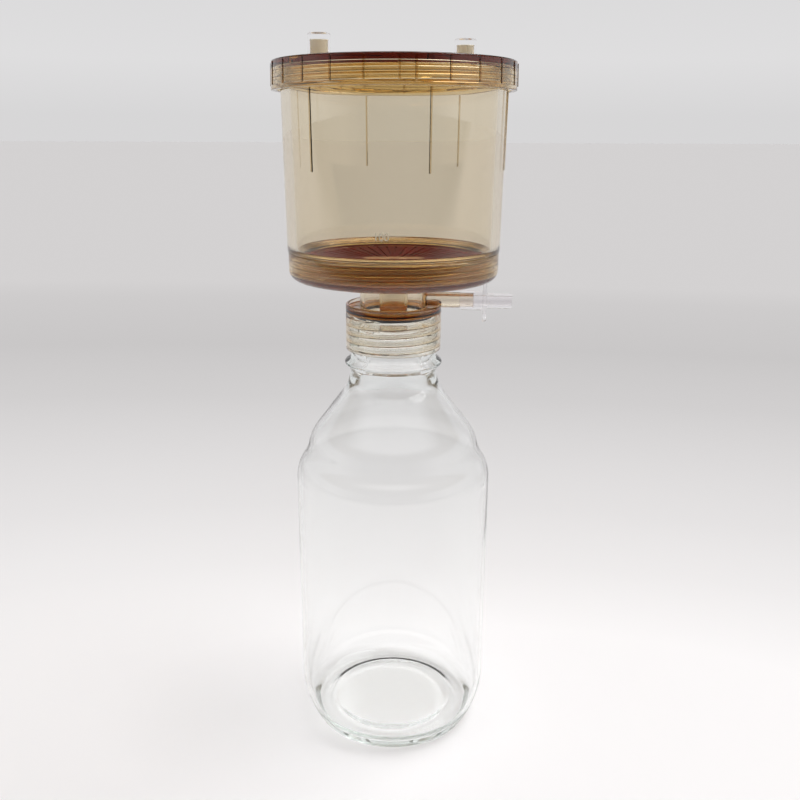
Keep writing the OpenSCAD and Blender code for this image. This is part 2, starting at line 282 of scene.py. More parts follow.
BOTTLE_WALL = 2.2
NECK_R, NECK_CURVE = 21.9, 21.3        # radius of the neck under its thread, curve at its root
NECK_BORE, BORE_CURVE = 15.2, 20       # the same inside
NECK_ROOT, NECK_THREAD = 21.0, 1.4     # radius of the neck between threads, height of its thread
CUP_ROOT, CUP_THREAD = 48.8, 1.2       # the cup's lower thread, inside the dish
LID_ROOT, LID_THREAD = 53.3, 1.1       # the cup's upper thread, inside the lid
THREAD_GAP = 0.3                       # between a thread's crest and the bottom of its groove
CUP_R, CUP_DRAFT = 52.0, 1.2           # the cup's wall at its foot, and how much wider it is at the rim
CUP_IN = 47.6                          # inside radius of the cup above its flange
RIB_FACE = 53.12                       # only the cup's ribs stand out past this radius
FLANGE_IN = 43.7                       # inside radius of that flange and of its seat in the dish
COLLAR_R, STEM_R, STEM_IN = 24.0, 16.8, 14.8
RIM_H, PLATE_T = 2.0, 2.1              # the collar's rim above its plate, and that plate
DISH_H = 13.6                          # from the dish's underside to its rim
LID_R, LID_FLARE, LID_T = 57.0, 0.3, 2.8   # radius, how much wider the foot is, and the top's thickness
SOLID = 224                            # columns of a large round piece

plate_top = plate_z + PLATE_T
dish_z = ring_z - DISH_H
neck_bore = NECK_ROOT + THREAD_GAP + NECK_THREAD
ring_bore = CUP_ROOT + THREAD_GAP + CUP_THREAD
lid_bore = LID_ROOT + THREAD_GAP + LID_THREAD
neck_crest = plate_z - 6.0             # crests at angle 0 that a neck and its collar share
cup_crest = ring_z - 2.6
lid_crest = cup_top - 1.6


def shoulder(inset, neck, curve, top_z):
    """The bottle's shoulder: rounded edge, shallow hollow, dome, cone and neck root."""
    edge_curve, edge_lean = 18, 35
    hollow_curve, hollow_lean = 20, 12
    dome_curve, dome_lean = 24, 37

    def unit(degrees):
        return np.array([math.cos(math.radians(degrees)), math.sin(math.radians(degrees))])

    def root(radius, size, gap):
        reach = dome + (dome_curve - gap + size) * unit(dome_lean)
        length = (reach[0] - radius - size) / math.sin(math.radians(dome_lean))
        return reach + length * unit(dome_lean + 90)

    edge = np.array([body_r - edge_curve, 0.0])
    hollow = edge + (edge_curve + hollow_curve) * unit(edge_lean)
    dome = hollow - (hollow_curve + dome_curve) * unit(hollow_lean)
    lift = top_z - root(NECK_R, NECK_CURVE, 0)[1]
    end = root(neck, curve, inset)
    points = (arc(edge, edge_curve - inset, 0, edge_lean, 12)
              + arc(hollow, hollow_curve + inset, 180 + edge_lean, 180 + hollow_lean, 8)[1:]
              + arc(dome, dome_curve - inset, hollow_lean, dome_lean, 10)[1:]
              + arc(end, curve, 180 + dome_lean, 180, 14))
    return [(r, z + lift) for r, z in points]


def bottle():
    """Glass bottle with a screw neck, a pointed bead under it and a raised middle in the foot."""
    bead_z, bead_h = lip_z - 23.4, 2.8
    bead_tip, bead_side = 23.8, 24.2
    heel_curve, heel_z = 48, 26
    heel = (body_r - heel_curve, heel_z)
    foot_curve = 2.5
    foot_drop = math.degrees(math.asin((heel_z - foot_curve) / (heel_curve - foot_curve)))
    foot = (heel[0] + (heel_curve - foot_curve) * math.cos(math.radians(foot_drop)), foot_curve)
    punt_r, punt_h = 32.0, 1.3
    floor_z, valley_z, turn_curve = 6.2, 4.6, 9
    inner = heel_curve - BOTTLE_WALL
    turn_drop = math.degrees(math.asin((heel_z - valley_z - turn_curve) / (inner - turn_curve)))
    turn_r = heel[0] + (inner - turn_curve) * math.cos(math.radians(turn_drop))
    thread_low, thread_high = lip_z - 15, lip_z - 4.5
    outside = (run((0, punt_h), (punt_r - 1, punt_h), 6) + ease((punt_r, punt_h), (foot[0] - 2, 0.0), 12)
               + arc(foot, foot_curve, -90, -foot_drop, 6)
               + arc(heel, heel_curve, -foot_drop, 0, 16)[1:]
               + shoulder(0, NECK_R, NECK_CURVE, bead_z - bead_h - 0.4)
               + run((NECK_R + 0.1, bead_z - bead_h), (bead_side, bead_z - 0.9), 1)
               + arc((bead_tip, bead_z), 0.9, -50, 50, 5)
               + run((bead_side, bead_z + 0.9), (NECK_R + 0.2, bead_z + bead_h), 1)
               + ease((NECK_R, bead_z + 3.1), (NECK_ROOT, bead_z + 4.8), 3)
               + screw(NECK_ROOT, NECK_PITCH, neck_crest, thread_low, thread_high, NECK_THREAD,
                       ridge(0.08, 0.33, 0.08), 1.0)
               + [(NECK_ROOT, lip_z - 3.0), (NECK_ROOT + 0.1, lip_z - 2.6)]
               + arc((NECK_ROOT - 1.1, lip_z - 1.2), 1.2, 0, 90, 5))
    throat = shoulder(BOTTLE_WALL, NECK_BORE, BORE_CURVE, bead_z - bead_h - 0.4)
    inside = (arc((NECK_BORE + 1.2, lip_z - 1.2), 1.2, 90, 180, 5)
              + down(throat)
              + arc(heel, inner, 0, -turn_drop, 14)
              + arc((turn_r, valley_z + turn_curve), turn_curve, -turn_drop, -90, 10)[1:]
              + ease((punt_r + 2, valley_z), (punt_r - 1.5, floor_z), 10)
              + run((punt_r - 2, floor_z), (8, floor_z - 0.4), 6) + [(0, floor_z - 0.5)])
    obj = lathe("bottle_glass", outside + inside, columns(SOLID), closed=False)
    return stand_in(obj, "bottle", "bottle", glass_material())


def filter_base():
    """Collar, stem, drip tube, dish and side arm, moulded in one piece."""
    rim_z = plate_top + RIM_H
    drip_r, drip_in = 7.1, 5.7
    corner_curve = 5
    corner = (dish_r - corner_curve, dish_z + corner_curve)
    seat_out = 45.8
    ledge_in = FLANGE_IN - 2
    collar_screw = screw(neck_bore, NECK_PITCH, neck_crest, collar_end + 0.9, plate_z - 1.5,
                         NECK_THREAD, groove(0.33, 0.42, 0.02), 0.8)
    ring_screw = screw(ring_bore, CUP_PITCH, cup_crest, dish_z + 4.4, ring_z - 0.7,
                       CUP_THREAD, groove(0.26, 0.36, 0.03), 0.6)
    section = (
        arc((drip_in + 0.7, plate_z - 8.6), 0.7, 180, 360, 6)
        + [(drip_r, plate_z)] + arc((drip_r + 0.8, dish_z - 0.8), 0.8, 180, 90, 4)
        + arc((STEM_IN - 0.8, dish_z - 0.8), 0.8, 90, 0, 4)
        + [(STEM_IN, plate_z + 0.4), (STEM_IN + 0.4, plate_z)]
        + [(neck_bore - 0.4, plate_z), (neck_bore, plate_z - 0.4)] + down(collar_screw)
        + [(neck_bore, collar_end + 0.6)] + arc((neck_bore + 0.4, collar_end + 0.3), 0.3, 190, 270, 3)
        + arc((COLLAR_R - 0.4, collar_end + 0.4), 0.4, 270, 360, 4)
        + arc((COLLAR_R - 0.7, rim_z - 0.7), 0.7, 0, 90, 5)
        + arc((neck_bore + 0.3, rim_z - 0.3), 0.3, 90, 180, 3)
        + arc((neck_bore - 0.6, plate_top + 0.6), 0.6, 0, -90, 4)
        + arc((STEM_R + 0.6, plate_top + 0.6), 0.6, 270, 180, 4)
        + arc((STEM_R + 1.5, dish_z - 1.5), 1.5, 180, 90, 6)
        + run((26, dish_z), (corner[0] - 4, dish_z), 8)
        + arc(corner, corner_curve, -90, 0, 12)
        + arc((dish_r - 0.4, ring_z - 0.4), 0.4, 0, 90, 4)
        + arc((ring_bore + 0.3, ring_z - 0.3), 0.3, 90, 180, 3) + down(ring_screw)
        + arc((ring_bore - 0.8, dish_z + 4.0), 0.8, 0, -90, 4)
        + arc((seat_out + 0.4, dish_z + 3.6), 0.4, 270, 180, 3)
        + arc((seat_out - 0.25, seat_z - 0.25), 0.25, 0, 90, 3)
        + [(FLANGE_IN + 0.2, seat_z), (FLANGE_IN, seat_z - 0.2)]
        + [(FLANGE_IN, ledge_z), (ledge_in, ledge_z)]
        + run((ledge_in, ledge_z - 0.05), (drip_in + 1.4, dish_z + 2.2), 8)
        + arc((drip_in + 1.2, dish_z + 1.0), 1.2, 100, 180, 4))
    obj = side_arm(lathe("filter_base_moulding", section, columns(SOLID)))
    return stand_in(obj, "filter_base", "base", base_amber())


def side_arm(obj):
    """The base with its side arm and thinner spigot, bored through to the stem."""
    arm_r, spigot_r, spigot_l = 3.8, 3.3, 6.7
    bore_r, bore_l = 2.2, 40
    start = STEM_IN + 0.5
    step = arm_x - start
    section = ([(0, 0), (arm_r, 0)] + arc((arm_r - 0.3, step - 0.3), 0.3, 0, 90, 3) + [(spigot_r, step)]
               + arc((spigot_r - 0.4, step + spigot_l - 0.4), 0.4, 0, 90, 4) + [(0, step + spigot_l)])
    arm = lathe("arm", section, columns(64), closed=False, place=along_x(start, arm_z))
    obj = combine(obj, arm, "UNION")
    hole = [(0, 0), (bore_r, 0), (bore_r, bore_l), (0, bore_l)]
    bore = lathe("bore", hole, columns(48), closed=False, place=along_x(STEM_IN - 1, arm_z))
    return combine(obj, bore, "DIFFERENCE")


def cup():
    """Amber cup with a thread at each end, six thin ribs and a raised number."""
    wall_z = ring_z + 0.3
    thread_z = cup_top - 7.3
    rib_top, rib_l, rib_w, rib_t = lid_end - 0.3, 34.8, 0.7, 0.6
    rib_foot, rib_at = rib_top - rib_l, 52.5
    places = [math.radians(-67 + 60 * i) for i in range(6)]
    skirt_in = 46.4

    def wall(z):
        return CUP_R + CUP_DRAFT * (z - wall_z) / (cup_top - wall_z)

    skirt = screw(CUP_ROOT, CUP_PITCH, cup_crest, skirt_z + 0.5, wall_z - 0.8, CUP_THREAD,
                  ridge(0.08, 0.24), 0.6)
    rim = screw(LID_ROOT, LID_PITCH, lid_crest, thread_z, cup_top - 0.6, LID_THREAD,
                ridge(0.08, 0.24), 0.7)
    section = (
        [(FLANGE_IN + 0.2, flange_z)] + arc((FLANGE_IN + 0.45, flange_z + 0.45), 0.45, 180, 100, 3)
        + run((FLANGE_IN + 0.6, flange_z + 0.95), (CUP_IN - 0.8, flange_z + 2.7), 2)
        + arc((CUP_IN - 1.0, flange_z + 3.9), 1.0, -70, 0, 4)
        + run((CUP_IN, flange_z + 5), (CUP_IN + CUP_DRAFT, cup_top - 0.5), 12)
        + arc((CUP_IN + CUP_DRAFT + 0.5, cup_top - 0.5), 0.5, 180, 90, 4)
        + arc((LID_ROOT - 0.4, cup_top - 0.4), 0.4, 90, 0, 4) + down(rim)
        + [(LID_ROOT, thread_z), (wall(thread_z - 0.7), thread_z - 0.7)]
        + [(wall(z), z) for z in (rib_top + 0.15, rib_top)]
        + run((wall(rib_top - 0.5), rib_top - 0.5), (wall(rib_foot + 0.5), rib_foot + 0.5), 8)
        + [(wall(z), z) for z in (rib_foot, rib_foot - 0.15)]
        + run((wall(rib_foot - 2), rib_foot - 2), (wall(wall_z + 2), wall_z + 2), 2)
        + arc((CUP_R - 0.4, wall_z + 0.4), 0.4, 0, -90, 4)
        + arc((CUP_ROOT + 0.3, wall_z - 0.3), 0.3, 90, 180, 3) + down(skirt)
        + arc((CUP_ROOT - 0.4, skirt_z + 0.4), 0.4, 0, -90, 4)
        + arc((skirt_in + 0.4, skirt_z + 0.4), 0.4, 270, 180, 4)
        + run((skirt_in, skirt_z + 1), (skirt_in, flange_z - 0.5), 3)
        + arc((skirt_in - 0.3, flange_z - 0.3), 0.3, 0, 90, 3))

    def relief(r, z, a):
        side = (r > CUP_R - 1) & (z >= rib_foot - 0.01) & (z <= rib_top + 0.01)
        return np.where(side, rib_t * ribs(a, rib_at, places, rib_w), 0)

    obj = lathe("cup_moulding", section, columns(SOLID, places, rib_at, rib_w), relief)
    graduation(wall(wall_z + 12))
    return stand_in(obj, "chamber", "cup", cup_amber())


def graduation(radius):
    """The raised number 100 on the cup's front."""
    height, low_z, relief = 3.3, ring_z + 10.4, 0.12
    curve = bpy.data.curves.new("number", "FONT")
    curve.body = "100"
    curve.align_x = "CENTER"
    curve.size = height / 0.7
    curve.extrude = relief
    curve.offset = 0.02
    text = bpy.data.objects.new("number", curve)
    bpy.context.scene.collection.objects.link(text)
    bpy.context.view_layer.update()
    shape = bpy.data.meshes.new_from_object(text.evaluated_get(bpy.context.evaluated_depsgraph_get()))
    bpy.data.objects.remove(text)
    points = np.empty(len(shape.vertices) * 3)
    shape.vertices.foreach_get("co", points)
    x, y, out = points.reshape(-1, 3).T
    a = x / radius - math.pi / 2
    r = radius + out
    wrapped = np.stack([r * np.cos(a), r * np.sin(a), low_z + y], -1) * MM
    shape.vertices.foreach_set("co", wrapped.ravel())
    shape.update()
    obj = bpy.data.objects.new("cup_number", shape)
    bpy.context.scene.collection.objects.link(obj)
    shape.materials.append(number_material())
    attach(obj, "cup")
    return obj


def lid():
    """Amber screw lid with grip ribs and two ports."""
    lid_top = lid_z + LID_T
    grip_w, grip_t = 0.8, 0.4
    grip_foot, grip_top = lid_end + 2.0, lid_top - 0.9
    split = math.radians(-78.3)
    places = [split + half * math.radians(3.45 + 15 * i) for half in (-1, 1) for i in range(12)]

    def outer(z):
        return LID_R + LID_FLARE * (lid_top - z) / (lid_top - lid_end)

    inner_screw = screw(lid_bore, LID_PITCH, lid_crest, lid_end + 1.0, lid_z - 0.9, LID_THREAD,
                        groove(0.26, 0.36, 0.03), 0.6)
    section = (
        [(0, lid_z)] + run((6, lid_z), (lid_bore - 4, lid_z), 8)
        + arc((lid_bore - 0.4, lid_z - 0.4), 0.4, 90, 0, 3) + down(inner_screw)
        + [(lid_bore, lid_end + 0.8)] + arc((lid_bore + 0.4, lid_end + 0.4), 0.4, 180, 270, 3)
        + arc((LID_R + LID_FLARE - 0.4, lid_end + 0.4), 0.4, 270, 360, 4)
        + [(outer(z), z) for z in (grip_foot - 0.12, grip_foot, grip_foot + 1)]
        + run((outer(grip_foot + 2), grip_foot + 2), (outer(grip_top - 1), grip_top - 1), 3)
        + [(outer(z), z) for z in (grip_top, grip_top + 0.12)]
        + arc((LID_R - 0.7, lid_top - 0.7), 0.7, 0, 90, 5)
        + run((LID_R - 3, lid_top), (6, lid_top), 8) + [(0, lid_top)])

    def relief(r, z, a):
        side = (r > LID_R - 0.5) & (z >= grip_foot - 0.01) & (z <= grip_top + 0.01)
        return np.where(side, grip_t * ribs(a, LID_R, places, grip_w), 0)

    obj = lathe("lid_moulding", section, columns(SOLID, places, LID_R, grip_w), relief, closed=False)
    port_r, port_bore = 4.1, 2.6
    port = ([(0, lid_z + 1), (port_r, lid_z + 1)] + arc((port_r - 0.3, port_top - 0.3), 0.3, 0, 90, 4)
            + [(0, port_top)])
    hole = [(0, lid_z - 1), (port_bore, lid_z - 1), (port_bore, port_top + 1), (0, port_top + 1)]
    for shape, count, operation in ((port, 72, "UNION"), (hole, 56, "DIFFERENCE")):
        for sign in (1, -1):
            spot = Matrix.Translation((sign * port_at[0], sign * port_at[1], 0))
            tool = lathe("port", shape, columns(count), closed=False, place=spot)
            obj = combine(obj, tool, operation)
    return stand_in(obj, "lid", "lid", lid_amber())


def port_cap(side, sign):
    """Clear soft cap over a port."""
    mouth, top = cap_box[0][2], cap_box[1][2]
    bore = 4.15
    outer = (cap_box[1][0] - cap_box[0][0]) / 2
    section = ([(0, port_top), (bore - 0.3, port_top), (bore, port_top - 0.3), (bore, mouth + 0.3)]
               + arc((outer - 0.4, mouth + 0.3), 0.3, 200, 360, 5)
               + arc((outer - 0.8, top - 0.8), 0.8, 0, 90, 6) + [(0, top)])
    spot = Matrix.Translation((sign * port_at[0], sign * port_at[1], 0))
    obj = lathe(f"port_cap_{side}_skin", section, columns(72), closed=False, place=spot)
    return stand_in(obj, f"port_cap_{side}", f"cap_{side}", silicone_material())


def connector():
    """Translucent hose connector with a round flange."""
    bore, wall = 3.35, 1.5
    socket_l, disc_t, hose_l = 11.35, 1.75, 12.5
    disc_r = (connector_box[1][2] - connector_box[0][2]) / 2
    hose_r, hose_bore = 3.8, 2.2
    disc_x = socket_l + disc_t
    end = disc_x + hose_l
    section = (
        [(bore + 0.2, 0)] + arc((bore + wall - 0.3, 0.3), 0.3, -90, 0, 3)
        + arc((bore + wall + 0.5, socket_l - 0.5), 0.5, 180, 90, 4)
        + arc((disc_r - 0.4, socket_l + 0.4), 0.4, -90, 0, 4)
        + arc((disc_r - 0.4, disc_x - 0.4), 0.4, 0, 90, 4)
        + arc((hose_r + 0.5, disc_x + 0.5), 0.5, 270, 180, 4)
        + arc((hose_r - 0.5, end - 0.5), 0.5, 0, 90, 4)
        + arc((hose_bore + 0.2, end - 0.2), 0.2, 90, 180, 3)
        + [(hose_bore, 7.1), (bore, 7.1), (bore, 0.2)])
    obj = lathe("hose_connector_skin", section, columns(72), place=along_x(arm_x, arm_z))
    return stand_in(obj, "hose_connector", "connector", milky_material())


# ---------------------------------------------------------------- materials

WATER_WHITE = (1.0, 1.0, 1.0)
AMBER = (0.807, 0.581, 0.086)          # what is left of each colour along the way through the plastic
AMBER_IOR = 1.63


def new_material(name):
    """A new material and its shader, or the material that has this name already, and None.

    The frame's plain finishes are named after the slots, so no name here is a slot's.
    """
    mat = bpy.data.materials.get(name)
    if mat:
        return mat, None
    mat = bpy.data.materials.new(name)
    mat.use_nodes = True
    return mat, mat.node_tree.nodes["Principled BSDF"]


def link(mat, source, target):
    mat.node_tree.links.new(source, target)


def node(mat, kind, **values):
    """A node with its inputs set by name."""
    made = mat.node_tree.nodes.new(kind)
    for key, value in values.items():
        made.inputs[key.replace("_", " ")].default_value = value
    return made


def noise(mat, scale, stretch=(1, 1, 1), detail=2.0):
    """Noise over the object's own coordinates, stretched along an axis by a small scale there."""
    where = node(mat, "ShaderNodeTexCoord")
    spread = node(mat, "ShaderNodeMapping", Scale=stretch)
    link(mat, where.outputs["Object"], spread.inputs["Vector"])
    made = node(mat, "ShaderNodeTexNoise", Scale=scale, Detail=detail)
    link(mat, spread.outputs["Vector"], made.inputs["Vector"])
    return made.outputs["Fac"]


def remap(mat, value, low, high, start=0.25, end=0.75):
    made = node(mat, "ShaderNodeMapRange")
    for name, number in (("From Min", start), ("From Max", end), ("To Min", low), ("To Max", high)):
        made.inputs[name].default_value = number
    link(mat, value, made.inputs["Value"])
    return made.outputs["Result"]


def tint(mat, value, low, high):
    """Colour between low and high. low may be a colour or another node's output."""
    made = node(mat, "ShaderNodeMix")
    made.data_type = "RGBA"
    if isinstance(low, tuple):
        made.inputs[6].default_value = (*low, 1)
    else:
        link(mat, low, made.inputs[6])
    made.inputs[7].default_value = (*high, 1)
    link(mat, value, made.inputs[0])
    return made.outputs[2]


def multiply(mat, a, b):
    made = node(mat, "ShaderNodeMath")
    made.operation = "MULTIPLY"
    link(mat, a, made.inputs[0])
    link(mat, b, made.inputs[1])
    return made.outputs[0]


def radius_and_height(mat):
    """Distance from the unit's axis and height above the bench, in metres."""
    where = node(mat, "ShaderNodeTexCoord")
    split = node(mat, "ShaderNodeSeparateXYZ")
    flat = node(mat, "ShaderNodeCombineXYZ")
    length = node(mat, "ShaderNodeVectorMath")
    length.operation = "LENGTH"
    link(mat, where.outputs["Object"], split.inputs["Vector"])
    link(mat, split.outputs["X"], flat.inputs["X"])
    link(mat, split.outputs["Y"], flat.inputs["Y"])
    link(mat, flat.outputs["Vector"], length.inputs[0])
    return length.outputs["Value"], split.outputs["Z"]


def band(mat, value, low, high, fade):
    """1 between two sizes in millimetres, fading to 0 outside them."""
    rise = remap(mat, value, 0, 1, (low - fade) * MM, low * MM)
    fall = remap(mat, value, 1, 0, high * MM, (high + fade) * MM)
    return multiply(mat, rise, fall)


def bump(mat, shader, value, strength, distance):
    made = node(mat, "ShaderNodeBump", Strength=strength, Distance=distance)
    link(mat, value, made.inputs["Height"])
    link(mat, made.outputs["Normal"], shader.inputs["Normal"])


def absorb(mat, colour, density):
    """Colour that deepens with the way through the solid."""
    made = node(mat, "ShaderNodeVolumeAbsorption", Density=density)
    made.inputs["Color"].default_value = (*colour, 1)
    link(mat, made.outputs["Volume"], mat.node_tree.nodes["Material Output"].inputs["Volume"])


def glass_material():
    mat, shader = new_material("clear_glass")
    if shader:
        shader.inputs["Transmission Weight"].default_value = 1.0
        shader.inputs["IOR"].default_value = 1.473
        ripple = noise(mat, 22, (1, 1, 0.35))
        link(mat, remap(mat, ripple, 0.0, 0.012), shader.inputs["Roughness"])
        link(mat, tint(mat, ripple, (0.985, 0.992, 0.99), WATER_WHITE), shader.inputs["Base Color"])
        bump(mat, shader, ripple, 0.12, 0.002)
        absorb(mat, (0.55, 0.85, 0.72), 3.0)
    return mat


FROSTED = (lid_z + LID_T + 0.6, port_top + 1)      # heights of the ports' matt skin


def amber(name, depth, zones):
    """Clear amber plastic with faint flow lines.

    Each zone (radii, heights, fade, colour, share), in millimetres, tints its surfaces, most of them with
    painted light or shade. They let that share of the light through and are matt plastic for the rest, as
    the ports are.
    """
    mat, shader = new_material(name)
    if shader:
        shader.inputs["IOR"].default_value = AMBER_IOR
        flow = noise(mat, 26, (1, 1, 0.06))
        radius, height = radius_and_height(mat)
        skin = band(mat, height, *FROSTED, 0.3)
        clear = remap(mat, skin, 1.0, 0.3)
        link(mat, multiply(mat, remap(mat, flow, 0.3, 0.5), skin), shader.inputs["Roughness"])
        bump(mat, shader, flow, 0.08, 0.002)
        colour = tint(mat, remap(mat, flow, 0, 1), (0.94, 0.93, 0.915), WATER_WHITE)
        for radii, heights, fade, shade, share in zones:
            inside = multiply(mat, band(mat, radius, *radii, fade), band(mat, height, *heights, fade))
            colour = tint(mat, inside, colour, shade)
            clear = multiply(mat, clear, remap(mat, inside, 1.0, share))
        link(mat, colour, shader.inputs["Base Color"])
        link(mat, clear, shader.inputs["Transmission Weight"])
        absorb(mat, AMBER, depth)
    return mat


def base_amber():
    return amber("base_amber", 110, [
        # painted light: orange over the collar's plate, standing in for light carried through the amber and
        # reflected up from below; it lets 60% through
        ((0, neck_bore + 1), (plate_z - 0.3, plate_top + 0.3), 0.2, (0.75, 0.36, 0.1), 0.6),
        # painted light: pale gold over the dish's threaded ring, standing in for light carried along inside
        # the amber wall
        ((0, dish_r + 1), (dish_z + 3.5, ring_z), 0.5, (0.97, 0.87, 0.68), 1.0),
        # painted light: gold over the dish's floor and the parts inside it, standing in for highlights and
        # light carried through the amber; it lets 80% through
        ((0, CUP_IN - 1), (dish_z - 0.2, ring_z), 0.3, (0.9, 0.66, 0.36), 0.8)])


def cup_amber():
    return amber("cup_amber", 30, [
        ((0, CUP_IN + 1.6), (flange_z - 1, cup_top), 0.2, (0.955, 0.9, 0.78), 1.0),
        # painted shade: the ribs' faces are darker brown, standing in for the dark look of thin ribs seen
        # edge-on
        ((RIB_FACE, CUP_R + 3), (ring_z + 30, lid_end), 0.03, (0.6, 0.45, 0.25), 1.0),
        # painted light: gold over the lower thread, standing in for light carried along inside the amber
        ((0, CUP_ROOT + 1.4), (skirt_z - 1, ring_z), 0.3, (0.92, 0.74, 0.42), 1.0),
        # painted light: gold over the upper thread, standing in for light carried along inside the amber
        ((0, LID_ROOT + 1.4), (cup_top - 7.5, cup_top + 1), 0.3, (0.93, 0.78, 0.48), 1.0)])


def lid_amber():
    grip_face = LID_R + LID_FLARE + 0.06           # only the grip ribs stand out past this radius
    return amber("lid_amber", 105, [
        ((0, LID_R + 3), FROSTED, 0.3, (0.88, 0.8, 0.62), 1.0),
        # painted shade: the grip ribs' faces are darker brown, standing in for the dark look of thin ribs
        ((grip_face, LID_R + 3), (lid_end, lid_z + LID_T), 0.04, (0.55, 0.38, 0.18), 1.0),
        # painted light: gold over the lid's thread, standing in for light carried along inside the amber
        ((0, lid_bore + 0.2), (lid_end + 0.5, lid_z + 0.2), 0.2, (0.93, 0.8, 0.52), 1.0)])


def number_material():
    """Raised characters of the cup's own plastic, a little frosted."""
    mat, shader = new_material("frosted_amber")
    if shader:
        shader.inputs["Transmission Weight"].default_value = 0.4
        shader.inputs["IOR"].default_value = 1.3
        grain = noise(mat, 900)
        link(mat, remap(mat, grain, 0.3, 0.5), shader.inputs["Roughness"])
        link(mat, tint(mat, grain, (0.94, 0.9, 0.76), (1.0, 0.96, 0.84)), shader.inputs["Base Color"])
    return mat


def plate_material():
    """The support plate: deep red on top, painted shade that stands in for the dark of light trapped in its
    amber, paler round the drain and amber underneath.
    """
    mat, shader = new_material("plate_deep_red_painted_shade")
    if shader:
        flow = noise(mat, 60)
        link(mat, remap(mat, flow, 0.4, 0.55), shader.inputs["Roughness"])
        # painted shade: the deep red stands in for the dark of light trapped in the plate's amber
        deep = tint(mat, flow, (0.11, 0.007, 0.004), (0.14, 0.01, 0.006))
        radius, height = radius_and_height(mat)
        colour = tint(mat, band(mat, radius, 0, 14, 2), deep, (0.5, 0.3, 0.2))
        colour = tint(mat, band(mat, height, 0, ledge_z + 0.2, 0.1), colour, (0.75, 0.5, 0.2))
        link(mat, colour, shader.inputs["Base Color"])
        shader.inputs["Specular IOR Level"].default_value = 0.1
    return mat


def silicone_material():
    mat, shader = new_material("cap_silicone")
    if shader:
        shader.inputs["Transmission Weight"].default_value = 1.0
        shader.inputs["IOR"].default_value = 1.08
        cloud = noise(mat, 300)
        link(mat, remap(mat, cloud, 0.0, 0.01), shader.inputs["Roughness"])
        link(mat, tint(mat, cloud, (0.99, 0.985, 0.99), WATER_WHITE), shader.inputs["Base Color"])
    return mat


def milky_material():
    mat, shader = new_material("connector_plastic")
    if shader:
        shader.inputs["Transmission Weight"].default_value = 1.0
        shader.inputs["IOR"].default_value = 1.12
        shader.inputs["Coat Weight"].default_value = 0.4
        cloud = noise(mat, 240)
        link(mat, remap(mat, cloud, 0.03, 0.06), shader.inputs["Roughness"])
        link(mat, tint(mat, cloud, (0.95, 0.935, 0.95), (0.985, 0.975, 0.985)), shader.inputs["Base Color"])
    return mat


def rubber_material(name, low, high):
    mat, shader = new_material(name)
    if shader:
        grain = noise(mat, 1800, detail=4)
        link(mat, tint(mat, grain, low, high), shader.inputs["Base Color"])
        link(mat, remap(mat, grain, 0.35, 0.55), shader.inputs["Roughness"])
        bump(mat, shader, grain, 0.2, 0.0001)
    return mat


def dress(node_name, material):
    """Gives a CAD node that stays its finish."""
    mesh = frame["nodes"][node_name].data
    mesh.materials.clear()
    mesh.materials.append(material)
    finish_mesh(mesh, 30)


# ---------------------------------------------------------------- stage, light and camera

def shades(ramp, stops):
    """Sets a colour ramp from (place, grey level) pairs. Dim levels are a little warmer."""
    elements = ramp.color_ramp.elements
    while len(elements) < len(stops):
        elements.new(0.5)
    for element, (place, level) in zip(elements, stops):
        element.position = place
        warmth = min(1.0, max(0.0, (0.5 - level) * 4))
        element.color = (level * (1 + 0.25 * warmth), level * 0.992, level * (1 - 0.35 * warmth), 1)


FRONT = 0.12                           # how bright the photographer's side is against the others


def off_stage(owner, value):
    """value for reflections and diffuse light, and 1 where the eye looks straight or through glass.

    So the backdrop is pale in every view, and clear walls mirror a dim photographer's side.
    """
    path = node(owner, "ShaderNodeLightPath")
    turned = node(owner, "ShaderNodeMath")
    turned.operation = "ADD"
    turned.use_clamp = True
    link(owner, path.outputs["Glossy Depth"], turned.inputs[0])
    link(owner, path.outputs["Is Diffuse Ray"], turned.inputs[1])
    level = node(owner, "ShaderNodeMix")
    level.inputs[2].default_value = 1.0
    link(owner, turned.outputs[0], level.inputs[0])
    link(owner, value, level.inputs[3])
    return level.outputs[0]


